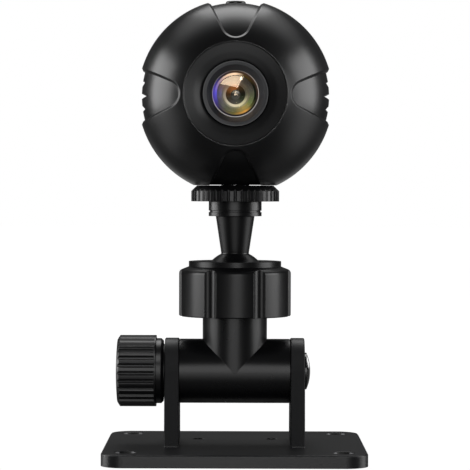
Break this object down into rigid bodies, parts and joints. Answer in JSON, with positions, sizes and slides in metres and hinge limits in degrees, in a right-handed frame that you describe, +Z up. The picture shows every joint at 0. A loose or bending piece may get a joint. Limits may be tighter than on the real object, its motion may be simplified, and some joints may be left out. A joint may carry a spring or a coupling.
{
  "type": "mini security camera",
  "caption": "Ball-shaped mini security camera on a clamped ball joint, a tilting arm with a knurled clamp knob and a screw-down rectangular base plate.",
  "frame": {"origin": "middle of the base plate's underside", "axes": "+Z up, lens looks along -Y, +X to the right seen from the front, hinge axis along X"},
  "size_m": [0.0582, 0.048, 0.1025],
  "materials": {
    "shell_plastic": "satin black moulded plastic",
    "stand_black": "satin black glass-filled plastic",
    "bracket_black": "fine satin black powder coat",
    "bolt_black": "glossy black plated steel",
    "steel": "plain machined steel",
    "brass": "turned brass",
    "nylon": "natural nylon",
    "lens_black": "black anodised, fine turned",
    "ring_metal": "bright turned ring",
    "glass": "coated optical glass",
    "button_black": "smooth black plastic",
    "board_green": "solder-masked circuit board",
    "sensor_dark": "dark sensor package",
    "socket_steel": "folded tin-plated steel",
    "battery_wrap": "silver pouch wrap",
    "frame_plastic": "black structural plastic",
    "filter_glass": "tinted infrared-cut glass",
    "antenna_film": "flexible antenna film"
  },
  "bodies": {
    "base": {"base_bracket": "bracket_black", "hinge_bolt": "bolt_black"},
    "arm": {"socket_body": "stand_black"},
    "knob_washer": {"thrust_washer": "frame_plastic"},
    "knob": {"clamp_knob": "stand_black", "knob_nut": "brass"},
    "collar_ring": {"seat_ring": "nylon"},
    "collar": {"clamp_collar": "stand_black"},
    "seat": {"ball_seat": "nylon"},
    "stem": {"ball_stem": "stand_black", "threaded_stud": "steel"},
    "lock": {"lock_nut": "stand_black"},
    "head": {"front_shell": "shell_plastic", "rear_shell": "shell_plastic", "shell_screws": "steel", "tripod_insert": "brass", "lens_barrel": "lens_black", "glass_ring": "ring_metal", "front_glass": "glass", "aperture_disc": "lens_black", "rear_lens": "glass", "lens_holder": "frame_plastic", "infrared_filter": "filter_glass", "image_sensor": "sensor_dark", "sensor_board": "board_green", "inner_frame": "frame_plastic", "main_board": "board_green", "usb_socket": "socket_steel", "card_socket": "socket_steel", "battery": "battery_wrap", "wireless_antenna": "antenna_film", "button_switch": "sensor_dark", "button_board": "board_green"},
    "button": {"power_button": "button_black", "switch_plunger": "button_black"}
  },
  "joints": [
    {"name": "arm_tilt", "type": "hinge", "parent": "base", "child": "arm", "pos_m": [0, 0, 0.0191], "axis": [1, 0, 0], "range_deg": [-85, 85]},
    {"name": "washer_slide", "type": "slide", "parent": "base", "child": "knob_washer", "axis": [-1, 0, 0], "range_m": [0, 0.0008]},
    {"name": "knob_turn", "type": "hinge", "parent": "knob_washer", "child": "knob", "pos_m": [-0.02, 0, 0.0191], "axis": [-1, 0, 0], "range_deg": [0, 360]},
    {"name": "ring_lift", "type": "slide", "parent": "arm", "child": "collar_ring", "axis": [0, 0, 1], "range_m": [0, 0.0005]},
    {"name": "collar_turn", "type": "hinge", "parent": "collar_ring", "child": "collar", "pos_m": [0, 0, 0.039], "axis": [0, 0, 1], "range_deg": [0, 120]},
    {"name": "ball_swivel", "type": "hinge", "parent": "arm", "child": "seat", "pos_m": [0, 0, 0.039], "axis": [0, 0, 1], "continuous": true},
    {"name": "ball_tilt", "type": "hinge", "parent": "seat", "child": "stem", "pos_m": [0, 0, 0.039], "axis": [1, 0, 0], "range_deg": [-24, 24]},
    {"name": "lock_nut_turn", "type": "hinge", "parent": "stem", "child": "lock", "pos_m": [0, 0, 0.059], "axis": [0, 0, -1], "range_deg": [0, 40]},
    {"name": "head_turn", "type": "hinge", "parent": "stem", "child": "head", "pos_m": [0, 0, 0.081], "axis": [0, 0, 1], "range_deg": [0, 360]},
    {"name": "button_press", "type": "slide", "parent": "head", "child": "button", "axis": [0, 0, -1], "range_m": [0, 0.0004], "stiffness_N_per_m": 1500}
  ],
  "couplings": [
    {"joint": "washer_slide", "follows": "knob_turn", "m_per_rad": 0.00012732},
    {"joint": "ring_lift", "follows": "collar_turn", "m_per_rad": 0.00023873}
  ]
}
